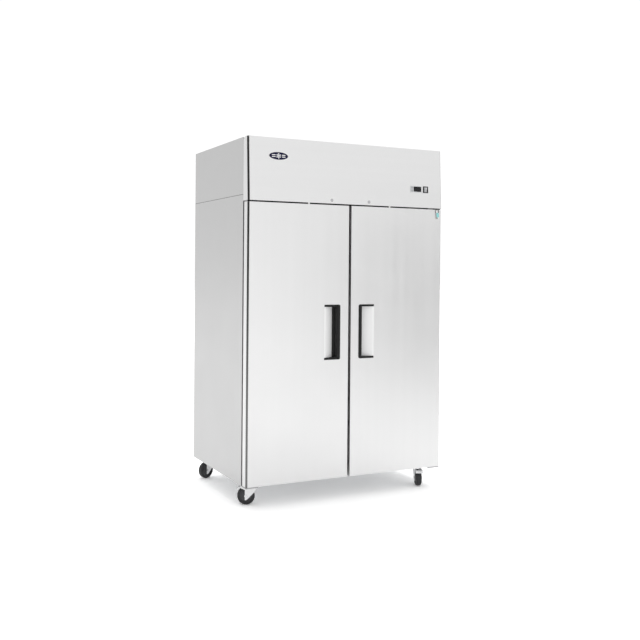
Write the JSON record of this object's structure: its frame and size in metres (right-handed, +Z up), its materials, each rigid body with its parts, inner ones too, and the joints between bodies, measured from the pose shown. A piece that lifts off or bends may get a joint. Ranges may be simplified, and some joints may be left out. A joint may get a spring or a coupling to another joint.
{
  "type": "reach-in refrigerator",
  "caption": "Upright two-door reach-in refrigerator in brushed stainless steel, with top-mounted machine, recessed black handles, wire shelves and swivel casters.",
  "frame": {"origin": "middle of the footprint on the floor, under the casters", "axes": "+Z up, -Y towards a person who opens the doors, +X to that person's right"},
  "size_m": [1.314, 0.805, 2.065],
  "materials": {
    "brushed_stainless": "satin",
    "galvanised_sheet": "matte",
    "liner_stainless": "satin",
    "insulation_foam": "matte",
    "handle_black": "satin",
    "gasket_grey": "matte",
    "coated_wire": "gloss",
    "coil_fins": "satin",
    "copper_tube": "satin",
    "compressor_black": "satin",
    "box_grey": "matte",
    "fan_black": "matte",
    "lamp_cover": "satin",
    "zinc_plate": "satin",
    "badge_navy": "gloss",
    "controller_grey": "satin",
    "switch_black": "satin",
    "button_grey": "satin",
    "lock_chrome": "polished",
    "wheel_rubber": "matte",
    "key_steel": "polished"
  },
  "bodies": {
    "cabinet": {"side_panels": "brushed_stainless", "rear_panel": "galvanised_sheet", "base_and_deck_pans": "galvanised_sheet", "insulation": "insulation_foam", "liner": "liner_stainless", "front_frame": "brushed_stainless", "shelf_supports": "zinc_plate", "shelves": "coated_wire", "interior_lamps": "lamp_cover", "condensing_tray": "galvanised_sheet", "condenser_coil": "coil_fins", "condenser_shroud": "galvanised_sheet", "compressor": "compressor_black", "fan_motors": "box_grey", "evaporator_coil": "coil_fins", "evaporator_housing": "liner_stainless", "refrigerant_lines": "copper_tube", "control_box": "box_grey", "cable_gland": "switch_black", "machine_side_covers": "brushed_stainless", "rear_grille": "galvanised_sheet", "header_rail": "galvanised_sheet", "door_hinges": "zinc_plate", "caster_plates": "zinc_plate", "fasteners": "zinc_plate"},
    "header": {"header_panel": "brushed_stainless", "badge": "badge_navy", "controller": "controller_grey", "rocker_bezel": "switch_black", "lock_barrels": "lock_chrome"},
    "door_left": {"door_left_skin": "brushed_stainless", "door_left_core": "insulation_foam", "door_left_liner": "liner_stainless", "door_left_gasket": "gasket_grey", "door_left_handle_frame": "handle_black", "door_left_handle_scoop": "brushed_stainless"},
    "lock_left": {"lock_plug_left": "lock_chrome"},
    "door_right": {"door_right_skin": "brushed_stainless", "door_right_core": "insulation_foam", "door_right_liner": "liner_stainless", "door_right_gasket": "gasket_grey", "door_right_handle_frame": "handle_black", "door_right_handle_scoop": "brushed_stainless"},
    "lock_right": {"lock_plug_right": "lock_chrome"},
    "rocker": {"rocker": "button_grey"},
    "button_up": {"button_up": "button_grey"},
    "button_down": {"button_down": "button_grey"},
    "keys": {"spare_keys": "key_steel"},
    "condenser_fan": {"condenser_fan": "fan_black"},
    "evaporator_fan": {"evaporator_fan": "fan_black"},
    "caster_left_front": {"caster_fork_left_front": "zinc_plate"},
    "wheel_left_front": {"caster_wheel_left_front": "wheel_rubber"},
    "brake_left_front": {"brake_pedal_left_front": "zinc_plate"},
    "caster_right_front": {"caster_fork_right_front": "zinc_plate"},
    "wheel_right_front": {"caster_wheel_right_front": "wheel_rubber"},
    "brake_right_front": {"brake_pedal_right_front": "zinc_plate"},
    "caster_left_rear": {"caster_fork_left_rear": "zinc_plate"},
    "wheel_left_rear": {"caster_wheel_left_rear": "wheel_rubber"},
    "caster_right_rear": {"caster_fork_right_rear": "zinc_plate"},
    "wheel_right_rear": {"caster_wheel_right_rear": "wheel_rubber"}
  },
  "joints": [
    {"name": "header_lift", "type": "hinge", "parent": "cabinet", "child": "header", "pos_m": [0, -0.347, 2.058], "axis": [-1, 0, 0], "range_deg": [0, 70]},
    {"name": "door_left_hinge", "type": "hinge", "parent": "cabinet", "child": "door_left", "pos_m": [-0.637, -0.372, 0.9], "axis": [0, 0, -1], "range_deg": [0, 110]},
    {"name": "lock_left_turn", "type": "hinge", "parent": "header", "child": "lock_left", "pos_m": [-0.126, -0.39, 1.729], "axis": [0, -1, 0], "range_deg": [0, 90]},
    {"name": "door_right_hinge", "type": "hinge", "parent": "cabinet", "child": "door_right", "pos_m": [0.637, -0.372, 0.9], "axis": [0, 0, 1], "range_deg": [0, 110]},
    {"name": "lock_right_turn", "type": "hinge", "parent": "header", "child": "lock_right", "pos_m": [0.126, -0.39, 1.729], "axis": [0, 1, 0], "range_deg": [0, 90]},
    {"name": "rocker_tip", "type": "hinge", "parent": "header", "child": "rocker", "pos_m": [0.535, -0.39297, 1.8208], "axis": [-1, 0, 0], "range_deg": [0, 14]},
    {"name": "button_up_press", "type": "slide", "parent": "header", "child": "button_up", "axis": [0, 0.9992, -0.0408], "range_m": [0, 0.0015], "stiffness_N_per_m": 400},
    {"name": "button_down_press", "type": "slide", "parent": "header", "child": "button_down", "axis": [0, 0.9992, -0.0408], "range_m": [0, 0.0015], "stiffness_N_per_m": 400},
    {"name": "keys_swing", "type": "hinge", "parent": "door_right", "child": "keys", "pos_m": [0.622, -0.4007, 1.7036], "axis": [0, 1, 0], "range_deg": [-20, 20]},
    {"name": "condenser_fan_spin", "type": "hinge", "parent": "cabinet", "child": "condenser_fan", "pos_m": [0.17, -0.201, 1.889], "axis": [0, 1, 0], "continuous": true},
    {"name": "evaporator_fan_spin", "type": "hinge", "parent": "cabinet", "child": "evaporator_fan", "pos_m": [0, 0.049, 1.602], "axis": [0, 1, 0], "continuous": true},
    {"name": "swivel_left_front", "type": "hinge", "parent": "cabinet", "child": "caster_left_front", "pos_m": [-0.567, -0.291, 0.11], "axis": [0, 0, 1], "continuous": true},
    {"name": "roll_left_front", "type": "hinge", "parent": "caster_left_front", "child": "wheel_left_front", "pos_m": [-0.59897, -0.27676, 0.05], "axis": [-0.4067, -0.9135, 0], "continuous": true},
    {"name": "brake_left_front_press", "type": "hinge", "parent": "caster_left_front", "child": "brake_left_front", "pos_m": [-0.62181, -0.2666, 0.1], "axis": [-0.4067, -0.9135, 0], "range_deg": [0, 10]},
    {"name": "swivel_right_front", "type": "hinge", "parent": "cabinet", "child": "caster_right_front", "pos_m": [0.567, -0.291, 0.11], "axis": [0, 0, 1], "continuous": true},
    {"name": "roll_right_front", "type": "hinge", "parent": "caster_right_front", "child": "wheel_right_front", "pos_m": [0.55166, -0.32246, 0.05], "axis": [0.8988, -0.4384, 0], "continuous": true},
    {"name": "brake_right_front_press", "type": "hinge", "parent": "caster_right_front", "child": "brake_right_front", "pos_m": [0.5407, -0.34493, 0.1], "axis": [0.8988, -0.4384, 0], "range_deg": [0, 10]},
    {"name": "swivel_left_rear", "type": "hinge", "parent": "cabinet", "child": "caster_left_rear", "pos_m": [-0.567, 0.34, 0.11], "axis": [0, 0, 1], "continuous": true},
    {"name": "roll_left_rear", "type": "hinge", "parent": "caster_left_rear", "child": "wheel_left_rear", "pos_m": [-0.60029, 0.32918, 0.05], "axis": [0.309, -0.9511, 0], "continuous": true},
    {"name": "swivel_right_rear", "type": "hinge", "parent": "cabinet", "child": "caster_right_rear", "pos_m": [0.567, 0.34, 0.11], "axis": [0, 0, 1], "continuous": true},
    {"name": "roll_right_rear", "type": "hinge", "parent": "caster_right_rear", "child": "wheel_right_rear", "pos_m": [0.59495, 0.31894, 0.05], "axis": [0.6018, 0.7986, 0], "continuous": true}
  ]
}
